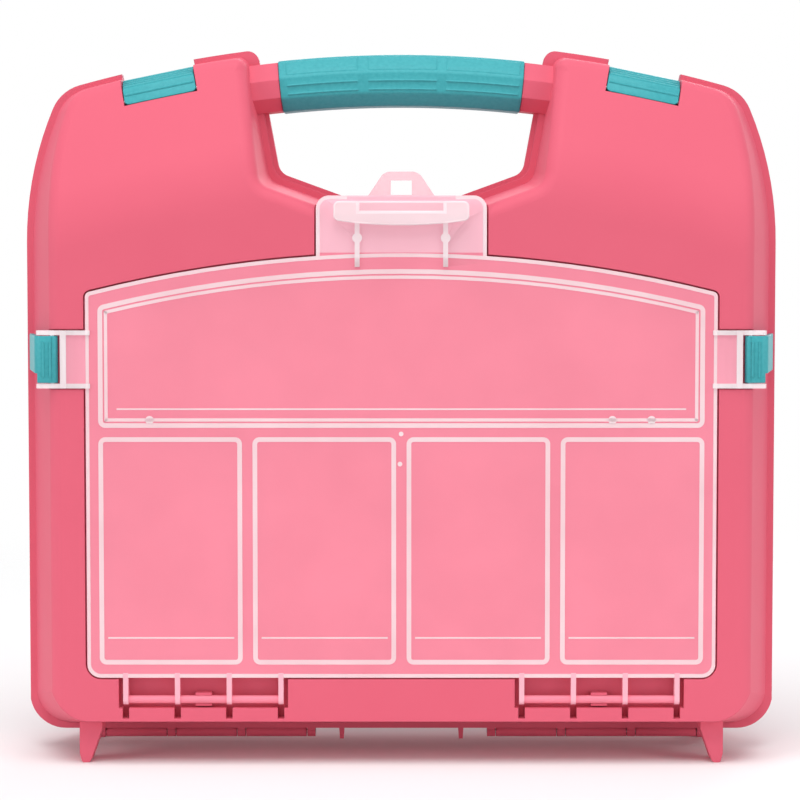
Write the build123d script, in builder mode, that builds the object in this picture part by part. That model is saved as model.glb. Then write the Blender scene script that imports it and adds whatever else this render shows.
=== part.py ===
import math
import os

from build123d import *

os.makedirs("parts", exist_ok=True)

# Clamshell carry case: X to the right, Y to the back, Z up, millimetres.
# The floor is Z 0, the two halves meet at Y 0, and the front half lies at negative Y.

# Case outline
case_width = 330.0
rim_bottom = 9.0
arch_height = 313.0
arch_radius = 530.0
bottom_corner = 16.0
bottom_corner_ease = 0.3
shoulder_corner = 18.0
lean_start = 225.0
lean_radius = 150.0
lean_turn = 36.0

# Shells
front_depth = 42.0
back_depth = 46.0
wall = 2.0
side_draft = 18.0
bottom_draft = 11.0
top_draft = 6.0
rim_width = 2.0
rim_thick = 3.0
parting_gap = 0.3
face_round = 5.8
crown_depth = 14.0
slope_height = 55.0
slope_blend = 60.0

# Hand gap under the handle
gap_top_half = 64.0
gap_low_half = 53.5
gap_low_height = 255.5
saddle_half = 24.5
saddle_height = 244.9
gap_mouth_round = 5.0
gap_bend_round = 7.0
gap_ledge = 2.2
gap_ledge_depth = 6.0
gap_ledge_half = 72.0

# Handle and grip covers
handle_arc_radius = 500.0
handle_wall = 1.8
grip_top = 307.0
grip_height = 22.5
grip_half_depth = 13.0
grip_wall = 2.0
grip_top_facet = 8.0
grip_low_facet = 5.5
grip_half_length = 53.0
stub_drop = 0.6
stub_half_reach = 71.0
fit_gap = 0.05

# Feet and stop pegs
foot_outer = 139.2
foot_width = 9.8
foot_tip_inset = 2.8
foot_tip_width = 3.4
foot_tip_bevel = 4.0
foot_tip_round = 1.2
foot_heel = 22.0
foot_setback = 7.0
foot_root_height = 30.0
peg_centre = 26.5
peg_width = 2.6
peg_length = 4.8

# Hinge between the halves
case_axis_drop = 1.9
knuckle_radius = 2.4
knuckle_width = 3.6
knuckle_first = 40.1
knuckle_pitch = 31.2
knuckle_count = 4
hinge_pin_radius = 1.0
hinge_pin_end = 2.0
pin_gap = 0.05
side_gap = 0.35
swing_gap = 0.35

# Compartment lid
lid_width = 269.6
lid_bottom = 38.2
lid_top = 220.1
lid_arch_radius = 549.0
lid_low_corner = 6.0
lid_top_corner = 2.6
lid_thick = 2.0
lid_gap = 0.7
skirt_wide = 1.6
skirt_deep = 1.6
seat_gap = 0.3

# Compartments and the lid's sealing loops
loop_half_width = 129.4
loop_thick = 2.0
loop_reach = 4.2
loop_corner = 3.0
wide_loop_bottom = 145.7
wide_loop_margin = 6.7
low_loop_bottom = 43.9
low_loop_top = 141.7
loop_spacing = 4.5
low_loop_count = 4
pocket_gap = 0.5
pocket_floor = 8.0
pocket_draft = 4.5
pocket_floor_round = 0.8
pocket_wall = 1.6

# Lid tab, pull lip and hang eye
tab_half_width = 36.3
tab_top = 244.6
tab_corner = 5.5
tab_skirt = 5.0
shelf_half_width = 23.0
shelf_thick = 1.8
shelf_back = 8.0
eye_thick = 2.0
eye_base_half = 16.2
eye_top_half = 7.5
eye_height = 11.2
eye_round = 5.0
eye_hole_width = 9.2
eye_hole_height = 6.4
eye_hole_margin = 3.8
lip_half_width = 28.8
lip_top = 242.2
lip_end_bottom = 234.1
lip_middle_bottom = 231.9
lip_proud = 4.0
lip_round = 2.4
lip_recess_half = 18.5
lip_recess_floor = 237.5
lip_recess_deep = 2.6
stay_centre = 18.8
stay_width = 2.1
stay_bottom = 214.3
stay_proud = 1.0
stay_boss_radius = 2.1
stay_boss_height = 226.6

# Lid hinge
lid_axis_height = 28.5
lid_axis_depth = 40.0
lid_bar_radius = 1.7
lid_arm_width = 2.2
lid_arm_radius = 2.2
lid_arm_first = 51.7
lid_arm_pitch = 22.23
lid_arm_count = 4
hook_width = 7.0
hook_thick = 1.1
hook_mouth = 0.5
hinge_pocket_deep = 6.0
hinge_pocket_margin = 3.0
hinge_pocket_bottom = 25.0
arm_slot_width = 2.8
arm_slot_bottom = 20.4

# Side ears of the lid and the clips on them
ear_bottom = 162.6
ear_top = 187.3
ear_reach = 155.8
ear_plate_reach = 142.9
ear_rib_width = 2.5
ear_rib_proud = 1.4
cheek_thick = 2.0
cheek_proud = 1.0
cheek_round = 1.8
ear_notch_gap = 0.5
clip_axis_x = 148.8
clip_axis_depth = 41.0
clip_barrel_radius = 2.3
clip_pin_radius = 0.9
clip_thick = 2.0
clip_front_depth = 42.6
clip_corner_x = 155.2
clip_corner_round = 3.0
clip_end_x = 162.6
clip_end_depth = 7.0
clip_side_bottom = 169.0
clip_bead_radius = 0.6
catch_depth = 12.0
catch_radius = 0.9

# Top latches
latch_centre = 107.0
latch_length = 31.5
latch_thick = 2.2
latch_drop = 3.4
latch_back_reach = 9.5
latch_bridge_front = 5.5
latch_knee_depth = 17.0
latch_knee_drop = 8.7
latch_plate = 7.8
latch_bend = 3.0
latch_toe_round = 2.2
latch_barrel_radius = 2.5
latch_barrel_along = 5.0
latch_barrel_inset = 1.9
latch_pin_radius = 1.2
latch_pin_end = 2.2
latch_ridge_radius = 0.7
latch_ridge_count = 3
latch_ridge_pitch = 2.9
latch_bead_radius = 0.6
latch_bead_inset = 2.0
latch_seat_gap = 0.8
latch_end_gap = 0.8
latch_cheek = 3.2
latch_catch_inset = 5.0
latch_catch_radius = 0.8
latch_catch_gap = 1.0

# Places worked out from the sizes above
seam = parting_gap / 2
side_slope = math.tan(math.radians(side_draft))
bottom_slope = math.tan(math.radians(bottom_draft))
top_slope = math.tan(math.radians(top_draft))
arch_centre = arch_height - arch_radius
gap_lean = (gap_top_half - gap_low_half) / (arch_height - gap_low_height)
gap_mouth_height = arch_height + 2 * face_round
gap_mouth_half = gap_low_half + gap_lean * (gap_mouth_height - gap_low_height)
handle_centre = grip_top - grip_height / 2 - handle_arc_radius
handle_axis = Axis((0, 0, handle_centre), (0, 1, 0))
case_axis_height = rim_bottom - case_axis_drop
recess_floor = front_depth - lid_thick - skirt_deep - seat_gap
lid_arch_centre = lid_top - lid_arch_radius
knuckle_last = knuckle_first + knuckle_pitch * (knuckle_count - 1)
lid_arm_last = lid_arm_first + lid_arm_pitch * (lid_arm_count - 1)
hinge_pocket_back = front_depth - hinge_pocket_deep
tab_pocket_back = front_depth - tab_skirt - lid_gap
ear_notch_back = front_depth - lid_thick - skirt_deep - seat_gap
far_out = case_width
far_front = 2 * front_depth


def facing(depth):
    """Plane parallel to the parting plane, that far in front of it."""
    return Plane.XZ.offset(depth)


def prism(sketch, amount):
    """Straight solid on a sketch; a negative amount runs towards the back."""
    with BuildPart() as solid:
        extrude(sketch, amount=amount)
    return solid.part


def block(low, high):
    """Box between two opposite corners."""
    size = [high[i] - low[i] for i in range(3)]
    with BuildPart(Plane(origin=low)) as solid:
        Box(*size, align=(Align.MIN, Align.MIN, Align.MIN))
    return solid.part


def half_width(inset, run):
    """Half of the case's width, drawn in by inset and by the sides' draft over run."""
    return case_width / 2 - inset - run * side_slope


def base_outline(inset, run, depth):
    """Tall outline with the case's base and rounded lower corners, a little wider than the sides."""
    wide = 2 * (half_width(inset, run) + bottom_corner_ease)
    with BuildSketch(facing(depth)) as outline:
        with Locations((0, rim_bottom + inset + run * bottom_slope)):
            Rectangle(wide, far_out, align=(Align.CENTER, Align.MIN))
        fillet(outline.vertices().group_by(Axis.Y)[0], bottom_corner)
    return outline.sketch


def case_outline(inset, ledge, run, depth):
    """Outline of the case with its hand gap, drawn in by inset and draft, and running on below the base."""
    half = half_width(inset, run)
    top_inset = inset + run * top_slope
    with BuildSketch(facing(depth)) as outline:
        with BuildLine():
            base = Line((0, -rim_bottom), (half, -rim_bottom))
            side = Line(base @ 1, (half, lean_start))
            lean = JernArc(side @ 1, (0, 1), lean_radius - case_width / 2 + half, lean_turn)
            Line(lean @ 1, (0, (lean @ 1).Y))
            mirror(about=Plane.YZ)
        make_face()
        with Locations((0, arch_centre)):
            Circle(arch_radius - top_inset, mode=Mode.INTERSECT)
        fillet(outline.vertices().filter_by(lambda v: v.Y > lean_start + rim_thick), shoulder_corner)
        with BuildSketch(mode=Mode.PRIVATE) as gap:
            with BuildLine():
                Polyline(
                    (0, saddle_height),
                    (saddle_half, saddle_height),
                    (gap_low_half, gap_low_height),
                    (gap_mouth_half, gap_mouth_height),
                    (0, gap_mouth_height),
                )
                mirror(about=Plane.YZ)
            make_face()
            if top_inset:
                offset(amount=top_inset + ledge, kind=Kind.INTERSECTION)
            bends = gap.vertices().sort_by(Axis.Y)[:4]
            fillet(bends, gap_bend_round)
        add(gap.sketch, mode=Mode.SUBTRACT)
        fillet(outline.vertices().group_by(Axis.Y)[-1], gap_mouth_round)
    return outline.sketch


def is_front(face):
    """True for the flat face of a half, its sloping shoulders and the blend between them."""
    if face.geom_type in (GeomType.TORUS, GeomType.CONE):
        return True
    return face.geom_type == GeomType.PLANE and face.normal_at().Y < -0.99


def front_edges(faces):
    """Edges where the front of a half meets its drafted walls."""
    fronts = faces.filter_by(is_front)
    rims = ShapeList()
    for face in fronts:
        for edge in face.edges():
            if sum(other.edges().count(edge) for other in fronts) == 1:
                rims.append(edge)
    return rims


def half_body(start, depth, inset, thinner, rounding):
    """Drafted solid of one half, whose shoulders slope back to the crown above the arch."""
    crown = crown_depth - thinner
    steep = (depth - crown) / slope_height
    shoulder = arch_height - slope_height
    run = depth - start
    with BuildPart() as body:
        back_end = case_outline(inset, gap_ledge, 0, start)
        loft([back_end, case_outline(inset, gap_ledge, run, depth)], ruled=True)
        with BuildSketch(Plane.YZ) as side_view:
            with BuildLine():
                Polyline(
                    (0, arch_centre),
                    (-depth, arch_centre),
                    (-depth, shoulder),
                    (0, arch_height + crown / steep),
                    close=True,
                )
            make_face()
            fillet(side_view.vertices().sort_by(Axis.Y)[2], slope_blend)
        revolve(axis=Axis((0, 0, arch_centre), (0, 1, 0)), mode=Mode.INTERSECT)
        fillet(front_edges(body.faces()).sort_by(Axis.Z)[1:], rounding)
        lower_ends = [base_outline(inset, 0, start), base_outline(inset, run, depth)]
        loft(lower_ends, ruled=True, mode=Mode.INTERSECT)
    return body.part


def rim_band():
    """Flange along the parting plane, with a ledge inside it around the hand gap."""
    flange = prism(case_outline(0, 0, 0, seam), rim_thick - seam)
    flange &= prism(base_outline(0, 0, seam), rim_thick - seam)
    ledge = prism(case_outline(rim_width, 0, 0, seam), gap_ledge_depth - seam)
    ledge &= block(
        (-gap_ledge_half, -gap_ledge_depth, saddle_height - 4 * gap_ledge),
        (gap_ledge_half, 0, grip_top - grip_height),
    )
    return flange + ledge


def handle_section(inset):
    """Front half of the handle's faceted section, drawn in by inset, on the middle plane."""
    half = grip_height / 2 - inset
    deep = grip_half_depth - inset
    middle = grip_top - grip_height / 2
    with BuildSketch(Plane.YZ) as section:
        with BuildLine():
            Polyline(
                (-seam, middle - half),
                (-deep + grip_low_facet, middle - half),
                (-deep, middle - half + grip_low_facet),
                (-deep, middle + half - grip_top_facet),
                (-deep + grip_top_facet, middle + half),
                (-seam, middle + half),
                close=True,
            )
        make_face()
    return section.sketch


def handle_bar(inset, half_length):
    """Bowed half bar of the handle, as long as half_length to each side."""
    turn = math.degrees(math.asin(half_length / handle_arc_radius))
    with BuildPart() as bar:
        revolve(handle_section(inset), axis=handle_axis, revolution_arc=turn)
        mirror(about=Plane.YZ)
    return bar.part


def stub_bar():
    """The two pink ends of the handle, between the grip cover and the shoulders."""
    bar = handle_bar(stub_drop, stub_half_reach)
    return bar - handle_bar(-grip_wall, grip_half_length + fit_gap)


def half_blank(body, depth):
    """Solid half of the case: body, rim, handle half and two blade feet."""
    core = handle_bar(grip_wall, stub_half_reach)
    stubs = stub_bar()
    with BuildPart() as blank:
        add(body)
        add(rim_band())
        add(core)
        add(stubs)
        inner = foot_outer - foot_width
        tip = foot_outer - foot_tip_inset
        with BuildSketch(facing(depth - foot_setback)) as foot_view:
            with BuildLine():
                Polyline(
                    (inner, foot_root_height / 2),
                    (tip - foot_tip_width / 2, 0),
                    (tip + foot_tip_width / 2, 0),
                    (foot_outer, foot_tip_bevel),
                    (foot_outer, foot_root_height),
                    (inner, foot_root_height),
                    close=True,
                )
            make_face()
            fillet(foot_view.vertices().group_by(Axis.Y)[0], foot_tip_round)
            mirror(about=Plane.YZ)
        extrude(amount=foot_heel + foot_setback - depth)
    return blank.part


def half_hollow(depth):
    """Space inside one half, with the groove along its half of the handle."""
    cavity = half_body(0, depth - wall, rim_width + wall, wall, face_round - wall)
    groove = handle_bar(grip_wall + handle_wall, stub_half_reach)
    with BuildPart() as hollow:
        add(cavity)
        add(groove)
    return hollow.part


def across(x):
    """Plane square to X, whose own axes run to the back and up."""
    return Plane.YZ.offset(x)


def hinge_knuckle(centre, width, toward):
    """Hinge eye on the case axis with its root under the rim; toward is -1 at the front half."""
    with BuildPart() as eye:
        with BuildSketch(across(centre)):
            with Locations((0, case_axis_height)):
                Circle(knuckle_radius)
            root = rim_bottom + knuckle_radius / 4
            with BuildLine():
                Polyline(
                    (toward * seam, case_axis_height),
                    (toward * rim_thick, case_axis_height + case_axis_drop / 2),
                    (toward * rim_thick, root),
                    (toward * seam, root),
                    close=True,
                )
            make_face()
        extrude(amount=width / 2, both=True)
    return eye.part


def case_axis_rod(centre, length, radius):
    """Round rod along the case axis."""
    place = Plane(origin=(centre, 0, case_axis_height), z_dir=(1, 0, 0))
    with BuildPart() as rod:
        with BuildSketch(place):
            Circle(radius)
        extrude(amount=length / 2, both=True)
    return rod.part


arm_places = [knuckle_first + knuckle_pitch * i for i in range(knuckle_count)]
barrel_places = [knuckle_first + knuckle_pitch * (i + 0.5) for i in range(knuckle_count - 1)]
barrel_width = knuckle_pitch - knuckle_width - 2 * side_gap
sides = (-1, 1)

front_arms = []
front_arm_room = []
back_barrels = []
back_barrel_room = []
case_bores = []
for side in sides:
    for x in arm_places:
        front_arms.append(hinge_knuckle(side * x, knuckle_width, -1))
        room = case_axis_rod(side * x, knuckle_width + 2 * side_gap, knuckle_radius + swing_gap)
        front_arm_room.append(room)
    for x in barrel_places:
        back_barrels.append(hinge_knuckle(side * x, barrel_width, 1))
        room = case_axis_rod(side * x, barrel_width + 2 * side_gap, knuckle_radius + swing_gap)
        back_barrel_room.append(room)
    bore_centre = side * (knuckle_first + knuckle_last) / 2
    bore_length = knuckle_last - knuckle_first + 4 * knuckle_width
    case_bores.append(case_axis_rod(bore_centre, bore_length, hinge_pin_radius + pin_gap))


# Latch geometry, drawn beside the arched rim: first number to the back, second outward from the rim
slope_angle = math.atan((front_depth - crown_depth) / slope_height)
latch_middle = latch_drop + latch_thick / 2
latch_knee = Vector(-latch_knee_depth, -latch_knee_drop)
plate_way = Vector(-math.sin(slope_angle), -math.cos(slope_angle))
plate_inward = Vector(math.cos(slope_angle), -math.sin(slope_angle))
latch_toe = latch_knee + plate_way * latch_plate
latch_pivot = latch_knee + plate_way * latch_barrel_along + plate_inward * latch_barrel_inset
toe_corner = latch_toe - plate_inward * (latch_thick / 2)
latch_swing = (toe_corner - latch_pivot).length + swing_gap
latch_turn = math.asin(latch_centre / arch_radius)


def latch_plane(side):
    """Plane square to the rim at a latch, with its axes to the back and outward."""
    origin = (side * latch_centre, 0, arch_centre + arch_radius * math.cos(latch_turn))
    along = (math.cos(latch_turn), 0, -side * math.sin(latch_turn))
    return Plane(origin=origin, x_dir=(0, 1, 0), z_dir=along)


def latch_rod(side, radius, length):
    """Round rod along a latch's pivot."""
    with BuildPart() as rod:
        with BuildSketch(latch_plane(side)):
            with Locations(latch_pivot):
                Circle(radius)
        extrude(amount=length / 2, both=True)
    return rod.part


def front_latch_pocket(side, grow, length):
    """Room in the front shell for a latch, made larger by grow for the wall behind it."""
    floor = -latch_drop - latch_thick - latch_seat_gap
    inner = latch_pivot.X + latch_swing
    with BuildPart() as pocket:
        with BuildSketch(latch_plane(side)):
            with BuildLine():
                Polyline(
                    (seam + parting_gap, face_round),
                    (seam + parting_gap, floor - grow),
                    (-latch_bridge_front + grow, floor - grow),
                    (inner + grow, floor - latch_swing - grow),
                    (inner + grow, latch_pivot.Y),
                    (-far_front, latch_pivot.Y),
                    (-far_front, face_round),
                    close=True,
                )
            make_face()
            with Locations(latch_pivot):
                Circle(latch_swing + grow)
        extrude(amount=length / 2, both=True)
    return pocket.part


def back_latch_pocket(side, grow, length):
    """Room in the back shell's rim for the free end of a latch."""
    floor = -latch_drop - latch_thick - latch_seat_gap - latch_catch_gap
    rear = latch_back_reach + latch_end_gap
    with BuildPart() as pocket:
        with BuildSketch(latch_plane(side)):
            with BuildLine():
                Polyline(
                    (-parting_gap, face_round),
                    (-parting_gap, floor - grow),
                    (rear + grow, floor - grow),
                    (rear + grow, face_round),
                    close=True,
                )
            make_face()
        extrude(amount=length / 2, both=True)
    return pocket.part


def latch_catch(side):
    """Low rib across the back pocket's floor that the latch's bead rides over."""
    floor = -latch_drop - latch_thick - latch_seat_gap - latch_catch_gap
    with BuildPart() as rib:
        with BuildSketch(latch_plane(side)):
            with Locations((latch_catch_inset, floor)):
                Circle(latch_catch_radius)
        extrude(amount=latch_length / 4, both=True)
    return rib.part


pocket_length = latch_length + 2 * side_gap
cheek_length = pocket_length + 2 * latch_cheek
pin_length = pocket_length + 2 * latch_pin_end


# Outlines shared by the lid, its recess and the compartments

def lid_outline(grow, depth):
    """Lid outline with its arched top, made larger by grow."""
    with BuildSketch(facing(depth)) as outline:
        top = lid_top + far_out / 4
        bottom = lid_bottom - grow
        with Locations((0, (top + bottom) / 2)):
            Rectangle(lid_width + 2 * grow, top - bottom)
        with Locations((0, lid_arch_centre)):
            Circle(lid_arch_radius + grow, mode=Mode.INTERSECT)
        corners = outline.vertices().sort_by(Axis.Y)
        fillet(corners[:2], lid_low_corner + grow)
        fillet(outline.vertices().sort_by(Axis.Y)[-2:], lid_top_corner + grow)
    return outline.sketch


def tab_outline(grow, depth):
    """Outline of the tab that stands up from the middle of the lid."""
    with BuildSketch(facing(depth)) as outline:
        bottom = stay_bottom
        top = tab_top + grow
        with Locations((0, (top + bottom) / 2)):
            Rectangle(2 * (tab_half_width + grow), top - bottom)
        fillet(outline.vertices().sort_by(Axis.Y)[-2:], tab_corner + grow)
    return outline.sketch


def wide_loop(grow, depth):
    """Outline of the wide upper compartment's sealing loop."""
    with BuildSketch(facing(depth)) as outline:
        top = lid_top
        bottom = wide_loop_bottom - grow
        with Locations((0, (top + bottom) / 2)):
            Rectangle(2 * (loop_half_width + grow), top - bottom)
        with Locations((0, lid_arch_centre)):
            Circle(lid_arch_radius - wide_loop_margin + grow, mode=Mode.INTERSECT)
        fillet(outline.vertices(), loop_corner + grow)
    return outline.sketch


low_loop_width = (2 * loop_half_width - loop_spacing * (low_loop_count - 1)) / low_loop_count


def low_loop(index, grow, depth):
    """Outline of one lower compartment's sealing loop."""
    step = low_loop_width + loop_spacing
    centre = (index - (low_loop_count - 1) / 2) * step
    height = low_loop_top - low_loop_bottom
    with BuildSketch(facing(depth)) as outline:
        with Locations((centre, low_loop_bottom + height / 2)):
            RectangleRounded(low_loop_width + 2 * grow, height + 2 * grow, loop_corner + grow)
    return outline.sketch


def loop_outlines(grow, depth):
    """All five loops."""
    loops = [wide_loop(grow, depth)]
    loops += [low_loop(i, grow, depth) for i in range(low_loop_count)]
    return loops


def compartments(grow, front, back):
    """The five tapered compartments, made larger by grow."""
    shrink = (front - back) * math.tan(math.radians(pocket_draft))
    mouths = loop_outlines(pocket_gap + grow, front)
    floors = loop_outlines(pocket_gap + grow - shrink, back)
    with BuildPart() as pockets:
        for mouth, floor in zip(mouths, floors):
            loft([mouth, floor], ruled=True)
        if not grow:
            fillet(pockets.faces().group_by(Axis.Y)[-1].edges(), pocket_floor_round)
    return pockets.part


tray_outside = compartments(pocket_wall, recess_floor, pocket_floor - pocket_wall)
tray_inside = compartments(0, recess_floor + loop_thick, pocket_floor)


def both_sides(solid):
    """A solid on the right-hand side and its mirror image on the left."""
    return [solid, solid.mirror(Plane.YZ)]


# Front shell
front_body = half_body(seam, front_depth, rim_width, 0, face_round)
front_outside = half_blank(front_body, front_depth)
front_inside = half_hollow(front_depth)

recess_plate = prism(lid_outline(lid_gap + wall, far_front), -(far_front - recess_floor + wall))
tab_backing = prism(tab_outline(lid_gap + wall, far_front), -(far_front - tab_pocket_back + wall))
lid_recess = prism(lid_outline(lid_gap, far_front), -(far_front - recess_floor))
tab_recess = prism(tab_outline(lid_gap, far_front), -(far_front - tab_pocket_back))

hinge_low = lid_arm_first - hinge_pocket_margin
hinge_high = lid_arm_last + hinge_pocket_margin
hinge_backing = block(
    (hinge_low - wall, -far_front, arm_slot_bottom - wall),
    (hinge_high + wall, -hinge_pocket_back + wall, lid_bottom + wall),
)
hinge_room = block(
    (hinge_low, -far_front, hinge_pocket_bottom),
    (hinge_high, -hinge_pocket_back, lid_bottom),
)
arm_slots = []
for i in range(lid_arm_count):
    x = lid_arm_first + lid_arm_pitch * i
    slot = block(
        (x - arm_slot_width / 2, -far_front, arm_slot_bottom),
        (x + arm_slot_width / 2, -hinge_pocket_back, hinge_pocket_bottom),
    )
    arm_slots += both_sides(slot)

ear_backing = block(
    (lid_width / 2 - wall, -far_front, ear_bottom - ear_notch_gap - wall),
    (far_out, -ear_notch_back + wall, ear_top + ear_notch_gap + wall),
)
ear_notch = block(
    (lid_width / 2 - wall, -far_front, ear_bottom - ear_notch_gap),
    (far_out, -ear_notch_back, ear_top + ear_notch_gap),
)

catch_x = case_width / 2 - rim_width - (catch_depth - seam) * side_slope
with BuildPart() as side_catch:
    with BuildSketch(Plane.XY.offset(clip_side_bottom + clip_thick)):
        with Locations((catch_x, -catch_depth)):
            Circle(catch_radius)
    extrude(amount=ear_top - cheek_thick - clip_side_bottom - 2 * clip_thick)

with BuildPart() as lid_hook:
    with BuildSketch(across(0)) as hook_view:
        outer = lid_bar_radius + pin_gap + hook_thick
        with Locations((-lid_axis_depth, lid_axis_height)):
            Circle(outer)
        web = (lid_axis_depth - hinge_pocket_back) / 2
        with Locations((-hinge_pocket_back - web, lid_axis_height)):
            Rectangle(2 * web, 2 * outer)
        with Locations((-lid_axis_depth, lid_axis_height)):
            Circle(lid_bar_radius + pin_gap, mode=Mode.SUBTRACT)
        with Locations((-lid_axis_depth - hook_mouth - outer, lid_axis_height)):
            Rectangle(2 * outer, 4 * outer, mode=Mode.SUBTRACT)
    extrude(amount=hook_width / 2, both=True)
hook_place = Pos((lid_arm_first + lid_arm_last) / 2, 0, 0)
hooks = both_sides(hook_place * lid_hook.part)

with BuildPart() as stop_peg:
    with BuildSketch(facing(rim_thick)):
        with BuildLine():
            Polyline(
                (peg_centre - peg_width / 2, rim_bottom + rim_width),
                (peg_centre - peg_width / 3, rim_bottom - peg_length),
                (peg_centre + peg_width / 3, rim_bottom - peg_length),
                (peg_centre + peg_width / 2, rim_bottom + rim_width),
                close=True,
            )
        make_face()
    extrude(amount=seam - rim_thick)

with BuildPart() as front_backings:
    add(recess_plate)
    add(tab_backing)
    add(both_sides(hinge_backing))
    add(both_sides(ear_backing))
    add([front_latch_pocket(side, wall, cheek_length) for side in sides])
    add(front_body, mode=Mode.INTERSECT)

with BuildPart() as front_shell:
    add(front_outside)
    add(front_arms)
    add(both_sides(stop_peg.part))
    add(front_inside, mode=Mode.SUBTRACT)
    add(front_backings.part)
    add(tray_outside)
    add(lid_recess, mode=Mode.SUBTRACT)
    add(tab_recess, mode=Mode.SUBTRACT)
    add(tray_inside, mode=Mode.SUBTRACT)
    add(both_sides(hinge_room), mode=Mode.SUBTRACT)
    add(arm_slots, mode=Mode.SUBTRACT)
    add(both_sides(ear_notch), mode=Mode.SUBTRACT)
    add([front_latch_pocket(side, 0, pocket_length) for side in sides], mode=Mode.SUBTRACT)
    add(back_barrel_room, mode=Mode.SUBTRACT)
    add(hooks)
    add(both_sides(side_catch.part))
    add(case_bores, mode=Mode.SUBTRACT)
    add([latch_rod(side, latch_pin_radius + pin_gap, pin_length) for side in sides], mode=Mode.SUBTRACT)
front_shell.part.label = "front_shell"
export_step(front_shell.part, "parts/front_shell.step")

# Back shell
back_body = half_body(seam, back_depth, rim_width, 0, face_round)
back_outside = half_blank(back_body, back_depth).mirror(Plane.XZ)
back_inside = half_hollow(back_depth).mirror(Plane.XZ)
with BuildPart() as back_backings:
    add([back_latch_pocket(side, wall, cheek_length) for side in sides])
    add(back_body.mirror(Plane.XZ), mode=Mode.INTERSECT)

with BuildPart() as back_shell:
    add(back_outside)
    add(back_barrels)
    add(back_inside, mode=Mode.SUBTRACT)
    add(back_backings.part)
    add([back_latch_pocket(side, 0, pocket_length) for side in sides], mode=Mode.SUBTRACT)
    add([latch_catch(side) for side in sides])
    add(front_arm_room, mode=Mode.SUBTRACT)
    add(case_bores, mode=Mode.SUBTRACT)
back_shell.part.label = "back_shell"
export_step(back_shell.part, "parts/back_shell.step")

# Hinge pins of the case
for side, name in zip(sides, ("hinge_pin_left", "hinge_pin_right")):
    length = knuckle_last - knuckle_first + 2 * hinge_pin_end
    with BuildPart() as hinge_pin:
        add(case_axis_rod(side * (knuckle_first + knuckle_last) / 2, length, hinge_pin_radius))
    hinge_pin.part.label = name
    export_step(hinge_pin.part, f"parts/{name}.step")

# Grip covers on the two halves of the handle
with BuildPart() as grip_front:
    add(handle_bar(0, grip_half_length))
    add(handle_bar(grip_wall - fit_gap, stub_half_reach), mode=Mode.SUBTRACT)
grip_front.part.label = "grip_front"
export_step(grip_front.part, "parts/grip_front.step")

with BuildPart() as grip_back:
    add(grip_front.part.mirror(Plane.XZ))
grip_back.part.label = "grip_back"
export_step(grip_back.part, "parts/grip_back.step")

# Top latches and their pins
for side, name in zip(sides, ("left", "right")):
    with BuildPart() as latch:
        with BuildSketch(latch_plane(side)):
            with BuildLine() as bent:
                FilletPolyline(
                    (latch_back_reach, -latch_middle),
                    (-latch_bridge_front, -latch_middle),
                    latch_knee,
                    latch_toe,
                    radius=latch_bend,
                )
            trace(line_width=latch_thick)
            ramp = latch_knee - Vector(-latch_bridge_front, -latch_middle)
            out = Vector(ramp.Y, -ramp.X).normalized() * (latch_thick / 2)
            for i in range(latch_ridge_count):
                share = 0.5 + (i - (latch_ridge_count - 1) / 2) * latch_ridge_pitch / ramp.length
                spot = Vector(-latch_bridge_front, -latch_middle) + ramp * share + out
                with Locations(spot):
                    Circle(latch_ridge_radius)
            with Locations((latch_back_reach - latch_bead_inset, -latch_drop - latch_thick)):
                Circle(latch_bead_radius)
        extrude(amount=latch_length / 2, both=True)
        square = latch_plane(side)
        toe_way = square.x_dir * plate_inward.X + square.y_dir * plate_inward.Y
        fillet(latch.edges().filter_by(Axis((0, 0, 0), toe_way)), latch_toe_round)
        add(latch_rod(side, latch_barrel_radius, latch_length - 2 * latch_toe_round))
        add(latch_rod(side, latch_pin_radius + pin_gap, latch_length), mode=Mode.SUBTRACT)
    latch.part.label = f"latch_{name}"
    export_step(latch.part, f"parts/latch_{name}.step")
    with BuildPart() as latch_pin:
        add(latch_rod(side, latch_pin_radius, pin_length))
    latch_pin.part.label = f"latch_pin_{name}"
    export_step(latch_pin.part, f"parts/latch_pin_{name}.step")

# Compartment lid
lid_plate = prism(lid_outline(0, front_depth), -lid_thick)
tab_plate = prism(tab_outline(0, front_depth), -lid_thick)
lid_skirt = prism(lid_outline(0, front_depth), -(lid_thick + skirt_deep))
lid_skirt -= prism(lid_outline(-skirt_wide, far_front), -far_front)
tab_rim = prism(tab_outline(0, front_depth), -tab_skirt)
tab_rim -= prism(tab_outline(-skirt_wide, far_front), -far_front)
tab_rim -= prism(lid_outline(0, far_front), -far_front)

loop_walls = []
for outside, inside in zip(loop_outlines(0, front_depth), loop_outlines(-loop_thick, far_front)):
    loop_walls.append(prism(outside, -(lid_thick + loop_reach)) - prism(inside, -far_front))

shelf = block(
    (-shelf_half_width, -front_depth + lid_thick / 2, tab_top - shelf_thick),
    (shelf_half_width, -shelf_back, tab_top),
)
with BuildPart() as hang_eye:
    with BuildSketch(facing(shelf_back)) as eye_view:
        eye_top = tab_top + eye_height
        with BuildLine():
            Polyline(
                (-eye_base_half, tab_top - shelf_thick),
                (eye_base_half, tab_top - shelf_thick),
                (eye_top_half, eye_top),
                (-eye_top_half, eye_top),
                close=True,
            )
        make_face()
        fillet(eye_view.vertices().sort_by(Axis.Y)[-2:], eye_round)
        with Locations((0, eye_top - eye_hole_margin - eye_hole_height / 2)):
            Rectangle(eye_hole_width, eye_hole_height, mode=Mode.SUBTRACT)
    extrude(amount=eye_thick)

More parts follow.
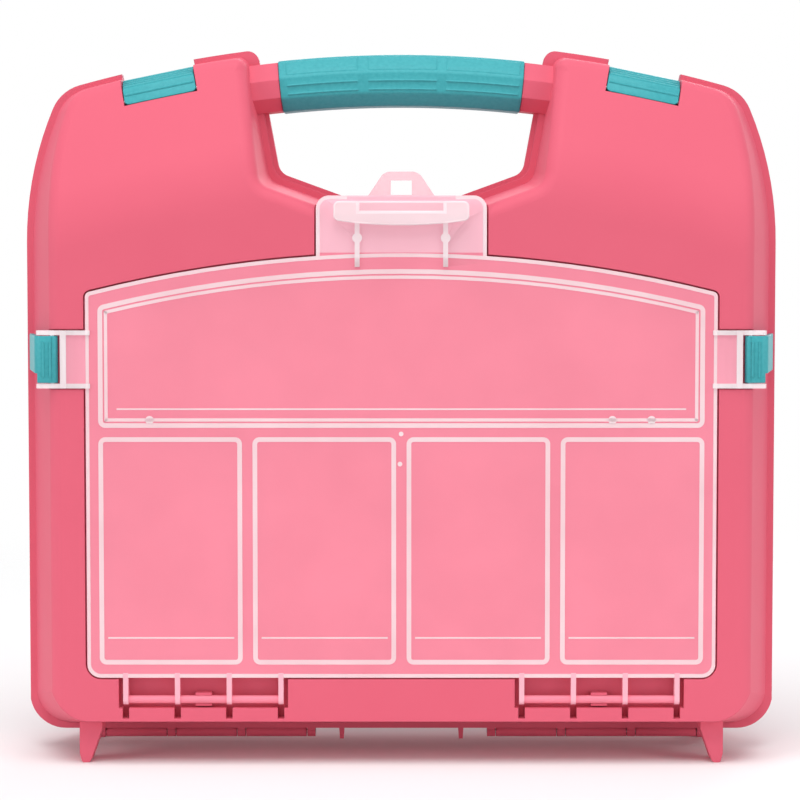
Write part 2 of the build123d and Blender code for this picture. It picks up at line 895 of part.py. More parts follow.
with BuildPart() as pull_lip:
    with BuildSketch(facing(front_depth - lid_thick / 2)) as lip_view:
        with BuildLine():
            low = ThreePointArc(
                (-lip_half_width, lip_end_bottom),
                (0, lip_middle_bottom),
                (lip_half_width, lip_end_bottom),
            )
            Polyline(low @ 1, (lip_half_width, lip_top), (-lip_half_width, lip_top), low @ 0)
        make_face()
        fillet(lip_view.vertices(), lip_round)
    extrude(amount=lip_proud + lid_thick / 2)
    lip_mouth = lip_top - lip_recess_floor + lip_round
    with BuildSketch(facing(front_depth + lip_proud)):
        with Locations((0, lip_recess_floor + lip_mouth / 2)):
            Rectangle(2 * lip_recess_half, lip_mouth)
    extrude(amount=-lip_recess_deep, mode=Mode.SUBTRACT)

with BuildPart() as stay:
    with BuildSketch(facing(front_depth - lid_thick / 2)):
        with Locations((stay_centre, (stay_bottom + lip_end_bottom) / 2)):
            Rectangle(stay_width, lip_end_bottom - stay_bottom)
        with Locations((stay_centre, stay_boss_height)):
            Circle(stay_boss_radius)
    extrude(amount=stay_proud + lid_thick / 2)

lid_arms = []
for i in range(lid_arm_count):
    with BuildPart() as lid_arm:
        with BuildSketch(across(lid_arm_first + lid_arm_pitch * i)):
            with Locations((-lid_axis_depth, lid_axis_height)):
                Circle(lid_arm_radius)
            with BuildLine():
                Polyline(
                    (-lid_axis_depth - lid_arm_radius, lid_axis_height),
                    (-front_depth, lid_bottom + lid_thick),
                    (-front_depth + lid_thick + skirt_deep, lid_bottom + lid_thick),
                    (-lid_axis_depth + lid_arm_radius, lid_axis_height),
                    close=True,
                )
            make_face()
        extrude(amount=lid_arm_width / 2, both=True)
    lid_arms += both_sides(lid_arm.part)
with BuildPart() as lid_bar:
    with BuildSketch(across(lid_arm_first)):
        with Locations((-lid_axis_depth, lid_axis_height)):
            Circle(lid_bar_radius)
    extrude(amount=lid_arm_last - lid_arm_first)

cheek_front = front_depth + cheek_proud
cheek_back = ear_notch_back + seat_gap
ear_plate = block(
    (lid_width / 2 - lid_thick, -front_depth, ear_bottom),
    (ear_plate_reach + ear_rib_width, -front_depth + lid_thick, ear_top),
)
ear_rib = block(
    (ear_plate_reach, -front_depth - ear_rib_proud, ear_bottom),
    (ear_plate_reach + ear_rib_width, -cheek_back, ear_top),
)
cheeks = []
for bottom in (ear_bottom, ear_top - cheek_thick):
    with BuildPart() as cheek:
        with BuildSketch(Plane.XY.offset(bottom)) as cheek_view:
            with BuildLine():
                Polyline(
                    (lid_width / 2 - lid_thick, -cheek_front),
                    (ear_reach, -cheek_front),
                    (ear_reach, -cheek_back),
                    (lid_width / 2 - lid_thick, -cheek_back),
                    close=True,
                )
            make_face()
            fillet(cheek_view.vertices().sort_by(Axis.X)[-2:], cheek_round)
            with Locations((clip_axis_x, -clip_axis_depth)):
                Circle(clip_pin_radius + pin_gap, mode=Mode.SUBTRACT)
        extrude(amount=cheek_thick)
    cheeks.append(cheek.part)

with BuildPart() as compartment_lid:
    add(lid_plate)
    add(tab_plate)
    add(lid_skirt)
    add(tab_rim)
    add(loop_walls)
    add(shelf)
    add(hang_eye.part)
    add(pull_lip.part)
    add(both_sides(stay.part))
    add(lid_arms)
    add(both_sides(lid_bar.part))
    add(both_sides(ear_plate))
    add(both_sides(ear_rib))
    for cheek in cheeks:
        add(both_sides(cheek))
compartment_lid.part.label = "compartment_lid"
export_step(compartment_lid.part, "parts/compartment_lid.step")

# Side clips on the lid's ears, and their pins
clip_bottom = ear_bottom + cheek_thick + side_gap
clip_height = ear_top - ear_bottom - 2 * cheek_thick - 2 * side_gap
with BuildPart() as clip_shape:
    with BuildSketch(Plane.XY.offset(clip_bottom)) as clip_view:
        with BuildLine():
            FilletPolyline(
                (clip_axis_x, -clip_front_depth),
                (clip_corner_x, -clip_front_depth),
                (clip_end_x, -clip_end_depth),
                radius=clip_corner_round,
            )
        trace(line_width=clip_thick)
        with Locations((clip_axis_x, -clip_axis_depth)):
            Circle(clip_barrel_radius)
        with Locations((clip_end_x - clip_thick / 2, -clip_end_depth - clip_thick)):
            Circle(clip_bead_radius)
        with Locations((clip_axis_x, -clip_axis_depth)):
            Circle(clip_pin_radius + pin_gap, mode=Mode.SUBTRACT)
    extrude(amount=clip_height)
    with BuildSketch(Plane.XY.offset(clip_bottom)):
        with Locations((clip_corner_x + far_out / 2, -front_depth / 2)):
            Rectangle(far_out, far_front)
    extrude(amount=clip_side_bottom - clip_bottom, mode=Mode.SUBTRACT)
with BuildPart() as clip_pin_shape:
    with BuildSketch(Plane.XY.offset(ear_bottom)):
        with Locations((clip_axis_x, -clip_axis_depth)):
            Circle(clip_pin_radius)
    extrude(amount=ear_top - ear_bottom)

for name, clip_solid, pin_solid in zip(
    ("right", "left"), both_sides(clip_shape.part), both_sides(clip_pin_shape.part)
):
    with BuildPart() as clip:
        add(clip_solid)
    clip.part.label = f"clip_{name}"
    export_step(clip.part, f"parts/clip_{name}.step")
    with BuildPart() as clip_pin:
        add(pin_solid)
    clip_pin.part.label = f"clip_pin_{name}"
    export_step(clip_pin.part, f"parts/clip_pin_{name}.step")
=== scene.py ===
import math

import bmesh
import bpy
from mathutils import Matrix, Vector


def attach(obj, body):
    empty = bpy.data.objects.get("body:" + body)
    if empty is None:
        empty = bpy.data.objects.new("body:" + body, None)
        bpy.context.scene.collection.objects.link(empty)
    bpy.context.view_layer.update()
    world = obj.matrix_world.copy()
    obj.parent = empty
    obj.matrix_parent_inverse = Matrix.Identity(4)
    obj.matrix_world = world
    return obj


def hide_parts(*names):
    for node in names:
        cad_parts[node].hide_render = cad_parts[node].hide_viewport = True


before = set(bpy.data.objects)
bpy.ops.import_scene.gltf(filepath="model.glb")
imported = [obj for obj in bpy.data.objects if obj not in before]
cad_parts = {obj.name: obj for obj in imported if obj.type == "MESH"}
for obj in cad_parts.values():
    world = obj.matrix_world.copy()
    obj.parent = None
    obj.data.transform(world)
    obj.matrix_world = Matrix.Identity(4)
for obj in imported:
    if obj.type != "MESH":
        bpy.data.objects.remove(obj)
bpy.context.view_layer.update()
mm = 0.001
scene = bpy.context.scene
print("stage: frame loaded,", len(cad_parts), "nodes")


def toLinear(hexCode):
    # sRGB hex to the linear values that Blender's sockets take
    values = [int(hexCode[i:i + 2], 16) / 255 for i in (1, 3, 5)]
    linear = [v / 12.92 if v <= 0.04045 else ((v + 0.055) / 1.055) ** 2.4 for v in values]
    return (*linear, 1.0)


def addNode(tree, kind, settings=None, inputs=None):
    # settings go on the node, inputs are values or sockets of other nodes
    node = tree.nodes.new(kind)
    for name, value in (settings or {}).items():
        setattr(node, name, value)
    for name, value in (inputs or {}).items():
        if isinstance(value, bpy.types.NodeSocket):
            tree.links.new(value, node.inputs[name])
        else:
            node.inputs[name].default_value = value
    return node


def newMaterial(name):
    material = bpy.data.materials.new(name)
    material.use_nodes = True
    tree = material.node_tree
    tree.nodes.clear()
    return material, tree


def perMetre(sizeMm):
    # texture scale that gives features of about this size
    return 1.0 / (sizeMm * mm)


# Polypropylene, injection moulded in an eroded tool: satin, with a fine even grain, soft flow
# clouds from the melt, and small radii that catch the light. The real grain is about 0.15 mm and
# too fine to show here, so it is drawn at 0.7 mm. The teal fittings are a little glossier, and
# their fine mottle is drawn at 1.6 mm, coarser than the real one.
pinkShell = {
    "colour": "#d85f74", "cloud": "#dc6478", "cloudMm": 46, "grainMm": 0.7, "grainDepthMm": 0.0025,
    "roughness": (0.50, 0.58), "specular": 0.11, "edgeMm": 0.55,
}
tealFittings = {
    "colour": "#38969e", "cloud": "#4caab0", "cloudMm": 1.6, "grainMm": 0.6, "grainDepthMm": 0.005,
    "roughness": (0.32, 0.44), "specular": 0.11, "edgeMm": 0.3,
}


def mouldedPolypropylene(name, look):
    material, tree = newMaterial(name)
    place = addNode(tree, "ShaderNodeTexCoord").outputs["Object"]
    cloud = addNode(tree, "ShaderNodeTexNoise", {}, {
        "Vector": place, "Scale": perMetre(look["cloudMm"]), "Detail": 3.0, "Roughness": 0.5})
    tint = addNode(tree, "ShaderNodeMix", {"data_type": "RGBA"}, {
        "Factor": cloud.outputs["Fac"],
        6: toLinear(look["colour"]), 7: toLinear(look["cloud"])})  # 6 and 7 are its two colours
    grain = addNode(tree, "ShaderNodeTexNoise", {}, {
        "Vector": place, "Scale": perMetre(look["grainMm"]), "Detail": 2.0, "Roughness": 0.6})
    gloss = addNode(tree, "ShaderNodeMapRange", {}, {
        "Value": cloud.outputs["Fac"], "From Min": 0.3, "From Max": 0.7,
        "To Min": look["roughness"][0], "To Max": look["roughness"][1]})
    edge = addNode(tree, "ShaderNodeBevel", {"samples": 4}, {"Radius": look["edgeMm"] * mm})
    bump = addNode(tree, "ShaderNodeBump", {}, {
        "Height": grain.outputs["Fac"], "Strength": 0.5, "Distance": look["grainDepthMm"] * mm,
        "Normal": edge.outputs["Normal"]})
    surface = addNode(tree, "ShaderNodeBsdfPrincipled", {}, {
        "Base Color": tint.outputs[2], "Roughness": gloss.outputs["Result"],
        "Normal": bump.outputs["Normal"], "Specular IOR Level": look["specular"]})
    addNode(tree, "ShaderNodeOutputMaterial", {}, {"Surface": surface.outputs["BSDF"]})
    return material


# Natural polypropylene, moulded thin with an etched face: milky and see-through where it is a
# sheet, and whiter wherever it is thick. Its pink is painted light: the sheet, ear and eye are
# tinted pink for the light that the tray and shell send back into them, and the tab is painted
# lighter against the shade behind and under it.
frostedLid = {
    # painted light: the sheet's pink stands in for the light that the tray sends back through it
    "sheet": {"colour": "#ff97ab", "alpha": (0.68, 0.74)},
    # painted light: the tab is tinted pink for the shell's light and lighter to make up for the
    # shade under its lip
    "tab": {"colour": "#ffc4d2", "alpha": (0.72, 0.78)},
    # painted light: the ear's pink tint stands in for light sent onto it by the pink shell
    "ear": {"colour": "#ffacbe", "alpha": (0.70, 0.76)},
    "line": {"colour": "#fff6f8", "alpha": (0.52, 0.62)},
    "rib": {"colour": "#fff4f6", "alpha": (0.64, 0.72)},
    "wall": {"colour": "#ffe4ea", "alpha": (0.18, 0.24)},
    # painted light: the eye's pink tint stands in for light sent onto it by the pink shell
    "eye": {"colour": "#ffdbe4", "alpha": (0.52, 0.60)},
    "cloudMm": 42, "roughness": 0.6, "gloss": 0.3, "glossRoughness": 0.3,
}


def frostedPolypropylene(name, look):
    material, tree = newMaterial(name)
    place = addNode(tree, "ShaderNodeTexCoord").outputs["Object"]
    cloud = addNode(tree, "ShaderNodeTexNoise", {}, {
        "Vector": place, "Scale": perMetre(frostedLid["cloudMm"]), "Detail": 2.0})
    milk = addNode(tree, "ShaderNodeMapRange", {}, {
        "Value": cloud.outputs["Fac"], "From Min": 0.35, "From Max": 0.65,
        "To Min": look["alpha"][0], "To Max": look["alpha"][1]})
    # the gloss is a coat, which works the same on both sides of the thin walls
    surface = addNode(tree, "ShaderNodeBsdfPrincipled", {}, {
        "Base Color": toLinear(look["colour"]), "Roughness": frostedLid["roughness"],
        "Specular IOR Level": 0.0, "Alpha": milk.outputs["Result"],
        "Coat Weight": frostedLid["gloss"], "Coat Roughness": frostedLid["glossRoughness"]})
    addNode(tree, "ShaderNodeOutputMaterial", {}, {"Surface": surface.outputs["BSDF"]})
    return material


# Drawn steel wire: bright, with a gloss that varies finely from the drawing. The real marks are
# finer than these 0.5 mm.
steelPins = {"colour": "#b9bcc0", "roughness": (0.22, 0.38), "scratchMm": 0.5}


def drawnSteelWire(name, look):
    material, tree = newMaterial(name)
    place = addNode(tree, "ShaderNodeTexCoord").outputs["Object"]
    scratch = addNode(tree, "ShaderNodeTexNoise", {}, {
        "Vector": place, "Scale": perMetre(look["scratchMm"]), "Detail": 3.0})
    gloss = addNode(tree, "ShaderNodeMapRange", {}, {
        "Value": scratch.outputs["Fac"],
        "To Min": look["roughness"][0], "To Max": look["roughness"][1]})
    surface = addNode(tree, "ShaderNodeBsdfPrincipled", {}, {
        "Base Color": toLinear(look["colour"]), "Metallic": 1.0,
        "Roughness": gloss.outputs["Result"]})
    addNode(tree, "ShaderNodeOutputMaterial", {}, {"Surface": surface.outputs["BSDF"]})
    return material


pinkPlastic = mouldedPolypropylene("pinkPolypropyleneMoulded", pinkShell)
tealPlastic = mouldedPolypropylene("tealPolypropyleneMoulded", tealFittings)
lidLooks = {part: frostedPolypropylene("frostedPolypropylene" + part.title(), frostedLid[part])
            for part in ("sheet", "tab", "ear", "line", "rib", "wall", "eye")}
steelWire = drawnSteelWire("steelWireDrawn", steelPins)
print("stage: materials made")


def newPiece(name, mesh):
    piece = bpy.data.objects.new(name, mesh)
    scene.collection.objects.link(piece)
    return piece


def setMaterials(piece, *materials):
    for material in materials:
        piece.data.materials.append(material)


weldMm = 0.0002  # corners closer than this are one


def mergedMesh(nodeName, flatDegrees=0.2):
    # copy of a CAD node as one closed skin with its flat faces whole
    bm = bmesh.new()
    bm.from_mesh(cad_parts[nodeName].data)
    bmesh.ops.remove_doubles(bm, verts=bm.verts, dist=weldMm * mm)
    bmesh.ops.dissolve_limit(bm, angle_limit=math.radians(flatDegrees),
                             verts=bm.verts, edges=bm.edges)
    return bm


def toPiece(bm, name, sharpDegrees=30):
    # smooth-shaded object from a bmesh, with its sharp edges kept
    for face in bm.faces:
        face.smooth = True
    mesh = bpy.data.meshes.new(name)
    bm.to_mesh(mesh)
    bm.free()
    mesh.set_sharp_from_angle(angle=math.radians(sharpDegrees))
    return newPiece(name, mesh)


def standIn(piece, body, nodeName):
    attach(piece, body)
    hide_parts(nodeName)


for nodeName in ("back_shell", "front_shell"):
    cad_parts[nodeName].data.materials[0] = pinkPlastic
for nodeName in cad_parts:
    if "pin" in nodeName:
        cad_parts[nodeName].data.materials[0] = steelWire

# The lid: its plate is a thin sheet, its rim, loops and lip are thick. Where a wall stands behind
# the plate the front shows it as a milky line.
lidShape = {
    "plateFrontMm": -42.0, "plateBackMm": -40.0, "tabFromMm": 220.4, "eyeFromMm": 244.7,
    "hingeBelowMm": 38.0, "axisMm": (-40.0, 28.5), "barRadiusMm": 1.8, "slackMm": 0.05,
    "earFromMm": 134.6, "wallEndsMm": -39.0, "lineProudMm": 0.1, "lineDepthMm": 0.4,
    "sealGapMm": 0.7, "sealLineMm": 1.4, "lipFrontMm": -43.2, "borderMm": 0.7,
    "flatFacing": 0.99, "sideFacing": 0.5,  # how squarely a face looks along the depth
}
# painted highlights: a thin white line low in each field for the light on the edge of the tray's
# floor behind the lid: middle, half length and height
floorEdgeHighlights = {
    "placesMm": ((0.0, 121.5, 153.7), (-98.7, 27.0, 55.4), (-32.9, 27.0, 55.4), (32.9, 27.0, 55.4),
                 (98.7, 27.0, 55.4)),
    "widthMm": 0.7,
}


def lidPart(face):
    # which look a face of the lid takes, from where it lies
    centre = face.calc_center_median() / mm
    toAxis = math.hypot(centre.y - lidShape["axisMm"][0], centre.z - lidShape["axisMm"][1])
    onPlate = min(abs(centre.y - lidShape[side]) for side in ("plateFrontMm", "plateBackMm"))
    if centre.z > lidShape["eyeFromMm"]:
        return "eye"
    if centre.z < lidShape["hingeBelowMm"]:
        return "sheet" if toAxis < lidShape["barRadiusMm"] else "tab"
    if onPlate < lidShape["slackMm"]:
        if centre.z > lidShape["tabFromMm"]:
            return "tab"
        return "ear" if abs(centre.x) > lidShape["earFromMm"] else "sheet"
    behind = centre.y > lidShape["plateFrontMm"]
    return "wall" if behind and abs(face.normal.y) < lidShape["sideFacing"] else "rib"


def cutLid(bm):
    # borders between the plate, its tab and its ears
    cuts = (((0, 0, lidShape["tabFromMm"]), (0, 0, 1)), ((lidShape["earFromMm"], 0, 0), (1, 0, 0)),
            ((-lidShape["earFromMm"], 0, 0), (1, 0, 0)))
    for place, way in cuts:
        everything = bm.verts[:] + bm.edges[:] + bm.faces[:]
        bmesh.ops.bisect_plane(bm, geom=everything, plane_co=Vector(place) * mm, plane_no=way)


def inset(bm, faces, width):
    return bmesh.ops.inset_region(bm, faces=faces, thickness=width * mm, use_boundary=True,
                                  use_even_offset=True)["faces"]


def addLip(bm, inner, recess, border):
    # the pull lip is milkiest along its edge and clearest in its recess, a face of four corners
    fronts = []
    for face in bm.faces:
        centre = face.calc_center_median() / mm
        onTab = lidShape["tabFromMm"] < centre.z < lidShape["eyeFromMm"]
        toFront = face.normal.y < -lidShape["flatFacing"]
        if toFront and centre.y < lidShape["lipFrontMm"] and onTab:
            face.material_index = inner if len(face.verts) > 4 else recess
            fronts.append(face)
    for face in inset(bm, fronts, lidShape["borderMm"]):
        face.material_index = border


def makeLid():
    order = list(lidLooks)
    bm = mergedMesh("compartment_lid")
    cutLid(bm)
    for face in bm.faces:
        face.material_index = order.index(lidPart(face))
    addLip(bm, order.index("line"), order.index("eye"), order.index("rib"))
    lid = toPiece(bm, "compartmentLid")
    setMaterials(lid, *lidLooks.values())
    standIn(lid, "lid", "compartment_lid")


def makeLidLines():
    # the ends of the walls behind the plate and a second line inside the wide loop, as low raised
    # lines on the plate's front, with a painted highlight low in each field: a thin white line for
    # the light on the tray floor's edge
    bm = mergedMesh("compartment_lid")
    cutLid(bm)
    ends, fields = [], []
    for face in bm.faces:
        centre = face.calc_center_median() / mm
        onPlate = lidShape["hingeBelowMm"] < centre.z < lidShape["eyeFromMm"]
        toBack = face.normal.y > lidShape["flatFacing"]
        if toBack and onPlate and abs(centre.x) < lidShape["earFromMm"]:
            (ends if centre.y > lidShape["wallEndsMm"] else fields).append(face)
    wide = max(fields, key=lambda face: face.calc_area())
    others = [face for face in bm.faces if face not in ends and face != wide]
    bmesh.ops.delete(bm, geom=others, context="FACES")
    spare = inset(bm, [wide], lidShape["sealGapMm"])
    inset(bm, [wide], lidShape["sealLineMm"])
    bmesh.ops.delete(bm, geom=spare + [wide], context="FACES")
    # painted highlights: the thin white lines low in the fields, for the light on the tray floor's
    # edge
    half = floorEdgeHighlights["widthMm"] / 2
    for x, reach, z in floorEdgeHighlights["placesMm"]:
        corners = ((x - reach, z - half), (x + reach, z - half),
                   (x + reach, z + half), (x - reach, z + half))
        bm.faces.new([bm.verts.new((across * mm, 0.0, up * mm)) for across, up in corners])
    for vert in bm.verts:
        vert.co.y = (lidShape["plateFrontMm"] - lidShape["lineProudMm"]) * mm
    bmesh.ops.remove_doubles(bm, verts=bm.verts, dist=weldMm * mm)
    raised = bmesh.ops.extrude_face_region(bm, geom=bm.faces[:])["geom"]
    for item in raised:
        if isinstance(item, bmesh.types.BMVert):
            item.co.y += lidShape["lineDepthMm"] * mm
    bmesh.ops.recalc_face_normals(bm, faces=bm.faces)
    lines = toPiece(bm, "lidLines")
    setMaterials(lines, lidLooks["line"])
    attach(lines, "lid")


makeLid()
makeLidLines()
print("stage: lid made")

# Latches and clips: bent plates with softened edges
fittingEdge = {"roundMm": 0.3, "segments": 2, "sharpDegrees": 35}


def makeFitting(nodeName):
    bm = mergedMesh(nodeName)
    limit = math.radians(fittingEdge["sharpDegrees"])
    sharp = [edge for edge in bm.edges if edge.is_manifold and edge.calc_face_angle() > limit]
    bmesh.ops.bevel(bm, geom=sharp, offset=fittingEdge["roundMm"] * mm, offset_type="OFFSET",
                    segments=fittingEdge["segments"], profile=0.5, affect="EDGES",
                    clamp_overlap=False)
    kind, side = nodeName.split("_")
    piece = toPiece(bm, kind + side.title())
    setMaterials(piece, tealPlastic)
    standIn(piece, nodeName, nodeName)


for nodeName in ("latch_left", "latch_right", "clip_left", "clip_right"):
    makeFitting(nodeName)
print("stage: latches and clips made")

# Grip covers: faceted half sleeves bowed along the handle, with raised pads on the top facet and
# raised lines on the front one. Across a facet each has a low end, a high end and a ramp's width.
gripShape = {
    "arcMm": 500.0, "middleMm": 295.75, "halfHeightMm": 11.25, "depthMm": 13.0, "topFacetMm": 8.0,
    "lowFacetMm": 5.5, "wallMm": 1.95, "halfLengthMm": 53.0, "seamMm": 0.15, "cornerMm": 0.9,
    "pads": ((-50.1, -18.6), (-14.6, 15.7), (19.2, 51.6)), "padProudMm": 0.4, "padEdgeMm": 0.8,
    "topPads": ((1.0, 10.2, 0.8),), "frontLines": ((1.0, 2.0, 0.4), (4.8, 5.8, 0.4)),
    "endDropMm": 0.5, "stepMm": 3.0, "cornerSteps": (0.33, 0.67),
    "endRound": ((0.0, 1.0), (0.2, 0.35), (0.6, 0.0)),  # in from the end, share of the drop
}
padRamp = ((0.0, 0.0), (0.25, 0.14), (0.5, 0.5), (0.75, 0.86), (1.0, 1.0))
frontFacet, topFacet = 2, 3  # places in the section, counted from its lower seam


def padRun(low, high, edge):
    # stations across a pad between low and high, with their height from 0 to 1
    count = max(1, round((high - low - 2 * edge) / gripShape["stepMm"]))
    stations = [(low + edge * along, height) for along, height in padRamp]
    stations += [(low + edge + (high - low - 2 * edge) * i / count, 1.0) for i in range(1, count)]
    return stations + [(high - edge * along, height) for along, height in reversed(padRamp)]


def sectionCorners(inward):
    deep = gripShape["depthMm"] - inward
    half = gripShape["halfHeightMm"] - inward
    top, low, seam = gripShape["topFacetMm"], gripShape["lowFacetMm"], gripShape["seamMm"]
    return [Vector(p) for p in ((seam, -half), (deep - low, -half), (deep, -half + low),
                                (deep, half - top), (deep - top, half), (seam, half))]


def gripSection():
    # outer line of the section as points, outward directions and pad heights
    corners = sectionCorners(0.0)
    pads = {frontFacet: gripShape["frontLines"], topFacet: gripShape["topPads"]}
    line = []
    lastFacet = len(corners) - 2
    for i in range(lastFacet + 1):
        way = (corners[i + 1] - corners[i]).normalized()
        out = Vector((way.y, -way.x))
        length = (corners[i + 1] - corners[i]).length
        start = gripShape["cornerMm"] if i > 0 else 0.0
        end = length - (gripShape["cornerMm"] if i < lastFacet else 0.0)
        run = [(start, 0.0)]
        for low, high, edge in pads.get(i, ()):
            run += padRun(low, high, edge)
        run.append((end, 0.0))
        line += [(corners[i] + way * along, out, height) for along, height in run]
        if i < lastFacet:
            nextWay = (corners[i + 2] - corners[i + 1]).normalized()
            nextOut = Vector((nextWay.y, -nextWay.x))
            first = corners[i + 1] - way * gripShape["cornerMm"]
            last = corners[i + 1] + nextWay * gripShape["cornerMm"]
            for t in gripShape["cornerSteps"]:
                spot = first * (1 - t) ** 2 + corners[i + 1] * 2 * t * (1 - t) + last * t * t
                line.append((spot, (out * (1 - t) + nextOut * t).normalized(), 0.0))
    return line


def gripStations():
    # stations along the grip with their pad height and how far the ends are drawn in
    half = gripShape["halfLengthMm"]
    ends = [(half - back, drop) for back, drop in gripShape["endRound"]]
    stations = [(-along, 0.0, drop) for along, drop in ends]
    for low, high in gripShape["pads"]:
        run = padRun(low, high, gripShape["padEdgeMm"])
        stations += [(along, height, 0.0) for along, height in run]
    return stations + [(along, 0.0, drop) for along, drop in reversed(ends)]


def makeGrip(name, toward, body, nodeName):
    section = gripSection()
    inner = list(reversed(sectionCorners(gripShape["wallMm"])))
    base = gripShape["middleMm"] - gripShape["arcMm"]
    bm = bmesh.new()
    rings = []
    for along, padAlong, drop in gripStations():
        turn = along / gripShape["arcMm"]
        proud = gripShape["padProudMm"] * padAlong
        drawnIn = gripShape["endDropMm"] * drop
        spots = [spot + out * (proud * height - drawnIn) for spot, out, height in section]
        ring = []
        for spot in spots + inner:
            radius = gripShape["arcMm"] + spot.y
            up = base + radius * math.cos(turn)
            place = Vector((radius * math.sin(turn), toward * spot.x, up))
            ring.append(bm.verts.new(place * mm))
        rings.append(ring)
    for one, two in zip(rings, rings[1:]):
        for i in range(len(one)):
            j = (i + 1) % len(one)
            bm.faces.new((one[i], one[j], two[j], two[i]))
    bm.faces.new(rings[0])
    bm.faces.new(rings[-1])
    bmesh.ops.recalc_face_normals(bm, faces=bm.faces)
    grip = toPiece(bm, name)
    setMaterials(grip, tealPlastic)
    standIn(grip, body, nodeName)


makeGrip("gripFront", -1, "front", "grip_front")
makeGrip("gripBack", 1, "back", "grip_back")
print("stage: grips made")

# Small round details: flat ejector pads and gate stubs on the lid's front, two grip ribs on the
# front of each clip, and two ridges along each latch's front plate
roundSides = 24
lidMarks = {
    "ejectorPads": {
        "placesMm": ((-107.5, -42.0, 149.0), (90.1, -42.0, 149.0), (106.8, -42.0, 149.0)),
        "radiusMm": 1.8, "heightMm": 0.2},
    "gateStubs": {
        "placesMm": ((-0.1, -42.0, 143.1), (-0.6, -42.0, 130.2)),
        "radiusMm": 1.0, "heightMm": 0.3},
}
clipRibs = {
    "acrossMm": (149.5, 152.4), "frontMm": -43.7, "middleMm": 174.9,
    "radiusMm": 0.5, "heightMm": 15.0,
}
latchRidges = {
    "pinMm": (104.17, 288.36), "tilt": 11.65,
    "placesMm": ((-16.4, 6.35), (-19.1, 2.95)),  # depth, and height above the latch's pin
    "radiusMm": 0.8, "heightMm": 30.4,
}


def roundTree(name, turn):
    # puts one round stub on every point, turned from Z
    tree = bpy.data.node_groups.new(name, "GeometryNodeTree")
    tree.interface.new_socket("Points", in_out="INPUT", socket_type="NodeSocketGeometry")
    for socket in ("Radius", "Height"):
        tree.interface.new_socket(socket, in_out="INPUT", socket_type="NodeSocketFloat")
    tree.interface.new_socket("Material", in_out="INPUT", socket_type="NodeSocketMaterial")
    tree.interface.new_socket("Stubs", in_out="OUTPUT", socket_type="NodeSocketGeometry")
    given = addNode(tree, "NodeGroupInput")
    stub = addNode(tree, "GeometryNodeMeshCylinder", {"fill_type": "NGON"}, {
        "Vertices": roundSides, "Radius": given.outputs["Radius"],
        "Depth": given.outputs["Height"]})
    placed = addNode(tree, "GeometryNodeInstanceOnPoints", {}, {
        "Points": given.outputs["Points"], "Instance": stub.outputs["Mesh"], "Rotation": turn})
    real = addNode(tree, "GeometryNodeRealizeInstances", {}, {
        "Geometry": placed.outputs["Instances"]})
    painted = addNode(tree, "GeometryNodeSetMaterial", {}, {
        "Geometry": real.outputs["Geometry"], "Material": given.outputs["Material"]})
    addNode(tree, "NodeGroupOutput", {}, {"Stubs": painted.outputs["Geometry"]})
    return tree


def makeStubs(name, tree, placesMm, look, material, body):
    points = bpy.data.meshes.new(name + "Points")
    points.from_pydata([[c * mm for c in place] for place in placesMm], [], [])
    seed = newPiece(name + "Seed", points)
    modifier = seed.modifiers.new("stubs", "NODES")
    modifier.node_group = tree
    values = {
        "Radius": look["radiusMm"] * mm, "Height": look["heightMm"] * mm, "Material": material}
    for item in tree.interface.items_tree:
        if item.item_type == "SOCKET" and item.in_out == "INPUT" and item.name in values:
            modifier[item.identifier] = values[item.name]
    depsgraph = bpy.context.evaluated_depsgraph_get()
    mesh = bpy.data.meshes.new_from_object(seed.evaluated_get(depsgraph))
    mesh.name = name
    bpy.data.objects.remove(seed)
    piece = newPiece(name, mesh)
    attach(piece, body)


stubTree = roundTree("lidStubs", (math.pi / 2, 0.0, 0.0))
for name, marks in lidMarks.items():
    makeStubs(name, stubTree, marks["placesMm"], marks, lidLooks["rib"], "lid")
ribTree = roundTree("clipRods", (0.0, 0.0, 0.0))
for side, sign in (("left", -1), ("right", 1)):
    places = [(sign * x, clipRibs["frontMm"], clipRibs["middleMm"]) for x in clipRibs["acrossMm"]]
    makeStubs("clipRibs" + side.title(), ribTree, places, clipRibs, tealPlastic,
              "clip_" + side)
lean = math.radians(latchRidges["tilt"])
pinX, pinZ = latchRidges["pinMm"]
for side, sign in (("left", -1), ("right", 1)):
    places = [(sign * (pinX + math.sin(lean) * up), deep, pinZ + math.cos(lean) * up)
              for deep, up in latchRidges["placesMm"]]
    ridgeTree = roundTree("latchRods" + side.title(), (0.0, math.pi / 2 + sign * lean, 0.0))
    makeStubs("latchRidges" + side.title(), ridgeTree, places, latchRidges, tealPlastic,
              "latch_" + side)
print("stage: lid marks, clip ribs and latch ridges made")

# Studio: pale floor that fades into a white surround, a large soft lamp above the front, one softer
# lamp at each side and one behind
studio = {
    "floorSize": 4.0, "floorColour": "#ededed", "fadeFrom": 0.32, "fadeTo": 0.95,
    "surround": 0.41, "surroundColour": "#fbfcff",
    "key": {"place": (-0.12, -0.68, 1.78), "size": 1.5, "watts": 28},
    "left": {"place": (-1.48, -0.80, 0.45), "size": 1.0, "watts": 9.5},
    "right": {"place": (1.48, -0.80, 0.45), "size": 1.0, "watts": 9.5},
    "back": {"place": (0.5, 1.7, 1.0), "size": 1.4, "watts": 16},
    "aim": (0.0, 0.0, 0.16),
}


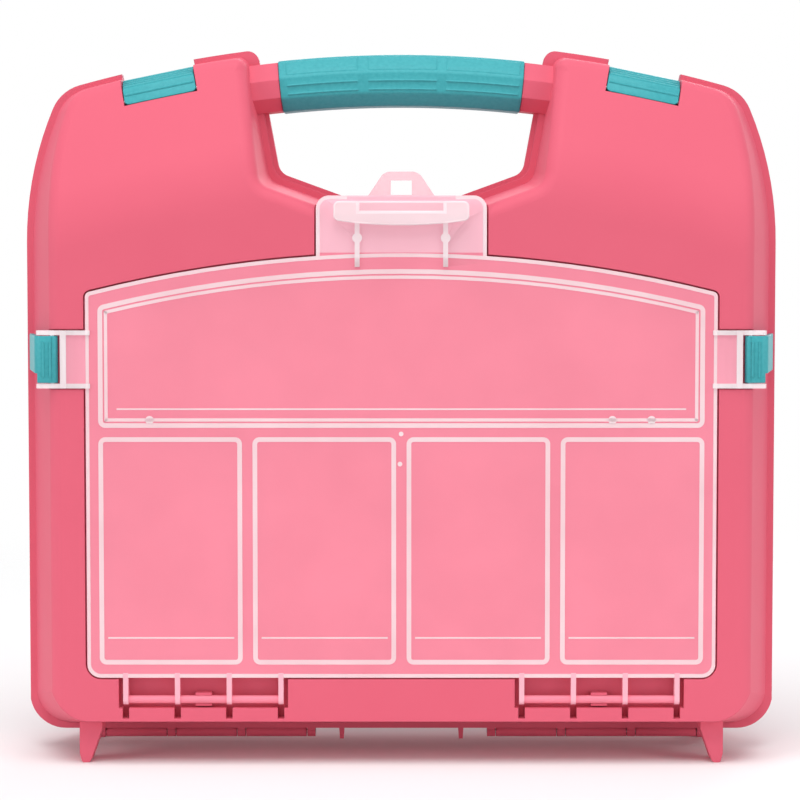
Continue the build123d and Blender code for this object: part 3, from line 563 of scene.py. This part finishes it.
def makeFloor():
    half = studio["floorSize"] / 2
    mesh = bpy.data.meshes.new("studioFloor")
    corners = [(-half, -half, 0), (half, -half, 0), (half, half, 0), (-half, half, 0)]
    mesh.from_pydata(corners, [], [(0, 1, 2, 3)])
    floor = newPiece("studioFloor", mesh)
    material, tree = newMaterial("floorPaintMatt")
    place = addNode(tree, "ShaderNodeTexCoord").outputs["Object"]
    distance = addNode(tree, "ShaderNodeVectorMath", {"operation": "LENGTH"}, {0: place})
    fade = addNode(tree, "ShaderNodeMapRange", {"interpolation_type": "SMOOTHSTEP"}, {
        "Value": distance.outputs["Value"],
        "From Min": studio["fadeFrom"], "From Max": studio["fadeTo"]})
    paint = addNode(tree, "ShaderNodeBsdfDiffuse", {}, {
        "Color": toLinear(studio["floorColour"])})
    clear = addNode(tree, "ShaderNodeBsdfTransparent")
    mixed = addNode(tree, "ShaderNodeMixShader", {}, {
        "Fac": fade.outputs["Result"], 1: paint.outputs["BSDF"], 2: clear.outputs["BSDF"]})
    addNode(tree, "ShaderNodeOutputMaterial", {}, {"Surface": mixed.outputs["Shader"]})
    setMaterials(floor, material)


def makeSurround():
    world = bpy.data.worlds.new("studioSurround")
    scene.world = world
    world.use_nodes = True
    tree = world.node_tree
    tree.nodes.clear()
    shown = addNode(tree, "ShaderNodeBackground", {}, {
        "Color": toLinear("#ffffff"), "Strength": 1.0})
    lit = addNode(tree, "ShaderNodeBackground", {}, {
        "Color": toLinear(studio["surroundColour"]), "Strength": studio["surround"]})
    rays = addNode(tree, "ShaderNodeLightPath").outputs
    mirrored = addNode(tree, "ShaderNodeMath", {"operation": "MAXIMUM"}, {
        0: rays["Is Glossy Ray"], 1: rays["Is Transmission Ray"]})
    seen = addNode(tree, "ShaderNodeMath", {"operation": "MAXIMUM"}, {
        0: rays["Is Camera Ray"], 1: mirrored.outputs["Value"]})
    mixed = addNode(tree, "ShaderNodeMixShader", {}, {
        "Fac": seen.outputs["Value"], 1: lit.outputs["Background"], 2: shown.outputs["Background"]})
    addNode(tree, "ShaderNodeOutputWorld", {}, {"Surface": mixed.outputs["Shader"]})


def makeLamp(name):
    lamp = bpy.data.lights.new(name + "Lamp", "AREA")
    lamp.energy = studio[name]["watts"]
    lamp.size = studio[name]["size"]
    holder = bpy.data.objects.new(name + "Lamp", lamp)
    scene.collection.objects.link(holder)
    holder.location = studio[name]["place"]
    aim = Vector(studio["aim"]) - holder.location
    holder.rotation_euler = aim.to_track_quat("-Z", "Y").to_euler()


makeFloor()
makeSurround()
for name in ("key", "left", "right", "back"):
    makeLamp(name)
print("stage: studio made")

# Camera at the photograph's angle: slightly above the middle of the case
cameraView = {
    "distanceMm": 1100.0, "elevation": 3.3, "targetMm": (-0.58, 0.0, 155.2),
    "lens": 111.6, "sensorMm": 36.0,
}


def makeCamera():
    data = bpy.data.cameras.new("photoCamera")
    data.lens = cameraView["lens"]
    data.sensor_width = cameraView["sensorMm"]
    data.sensor_fit = "HORIZONTAL"
    camera = bpy.data.objects.new("photoCamera", data)
    scene.collection.objects.link(camera)
    lift = math.radians(cameraView["elevation"])
    target = Vector(cameraView["targetMm"]) * mm
    away = Vector((0.0, -math.cos(lift), math.sin(lift))) * cameraView["distanceMm"] * mm
    camera.location = target + away
    camera.rotation_euler = (-away).to_track_quat("-Z", "Y").to_euler()
    scene.camera = camera


makeCamera()
scene.view_settings.view_transform = "Standard"
